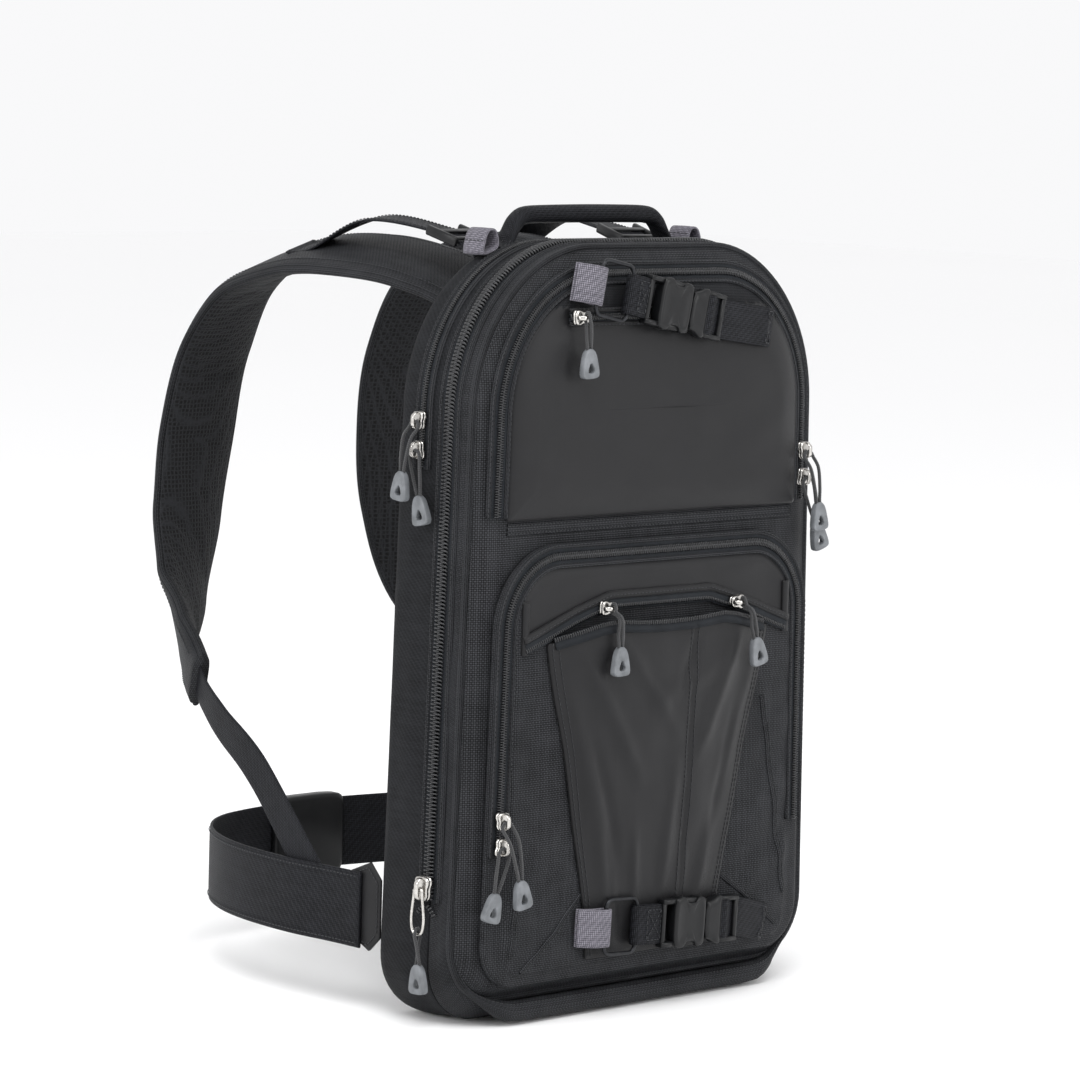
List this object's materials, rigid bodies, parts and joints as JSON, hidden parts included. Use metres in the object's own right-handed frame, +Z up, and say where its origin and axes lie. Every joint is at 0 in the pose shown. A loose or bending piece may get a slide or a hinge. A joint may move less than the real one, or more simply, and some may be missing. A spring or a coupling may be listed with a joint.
{
  "type": "camera backpack",
  "caption": "Slim front-opening camera backpack with padded shells, zipped pockets, strap-on tripod carriers, a carry handle, shoulder harness and waist belt, shown as worn.",
  "frame": {"origin": "the centre of the lumbar pad's face, where the bag rests on the wearer's back", "axes": "+Z up, +Y towards the wearer, so the pockets face -Y; +X to the right seen from the pocket side"},
  "size_m": [0.3268, 0.3745, 0.5003],
  "materials": {
    "ballistic_nylon": "coarse woven, low sheen",
    "smooth_nylon": "fine woven, soft sheen",
    "coil_zip": "glossy coil on woven tape",
    "zip_slider": "plated",
    "pull_rubber": "moulded, matt",
    "black_webbing": "ribbed weave",
    "grey_webbing": "ribbed weave",
    "acetal": "moulded, glossy",
    "air_mesh": "spacer mesh"
  },
  "bodies": {
    "bag": {"rear_shell": "ballistic_nylon", "front_shell": "ballistic_nylon", "lower_pocket": "ballistic_nylon", "base_roll": "ballistic_nylon", "shoulder_strap_right": "ballistic_nylon", "shoulder_strap_left": "ballistic_nylon", "upper_pocket": "smooth_nylon", "slash_pocket": "smooth_nylon", "lower_strap_right": "smooth_nylon", "lower_strap_left": "smooth_nylon", "expansion_zip": "coil_zip", "laptop_zip": "coil_zip", "upper_pocket_zip": "coil_zip", "lower_pocket_zip": "coil_zip", "organiser_zip": "coil_zip", "slash_zip": "coil_zip", "slider_laptop_a": "zip_slider", "slider_laptop_b": "zip_slider", "slider_upper_a": "zip_slider", "slider_upper_b": "zip_slider", "slider_lower_a": "zip_slider", "slider_lower_b": "zip_slider", "slider_organiser": "zip_slider", "slider_slash_left": "zip_slider", "slider_slash_right": "zip_slider", "slider_expansion": "zip_slider", "pull_laptop_a": "pull_rubber", "pull_laptop_b": "pull_rubber", "pull_upper_a": "pull_rubber", "pull_upper_b": "pull_rubber", "pull_lower_a": "pull_rubber", "pull_lower_b": "pull_rubber", "pull_organiser": "pull_rubber", "pull_slash_left": "pull_rubber", "pull_slash_right": "pull_rubber", "carry_handle": "black_webbing", "load_lifter_right": "black_webbing", "load_lifter_left": "black_webbing", "waist_belt_right": "black_webbing", "waist_belt_left": "black_webbing", "upper_web": "black_webbing", "upper_tail": "black_webbing", "lower_web": "black_webbing", "lower_tail": "black_webbing", "top_loop_right": "grey_webbing", "top_loop_left": "grey_webbing", "upper_grey_loop": "grey_webbing", "lower_grey_loop": "grey_webbing", "ladder_lock_right": "acetal", "ladder_lock_left": "acetal", "belt_clasp": "acetal", "upper_hook": "acetal", "lower_hook": "acetal", "upper_buckle": "acetal", "lower_buckle": "acetal", "lumbar_pad": "air_mesh", "upper_back_pad": "air_mesh"},
    "puller": {"expansion_puller": "zip_slider", "pull_expansion": "pull_rubber"}
  },
  "joints": [
    {"name": "puller_swing", "type": "hinge", "parent": "bag", "child": "puller", "pos_m": [-0.16491, -0.064, -0.13], "axis": [0, 1, 0], "range_deg": [0, 160]}
  ]
}
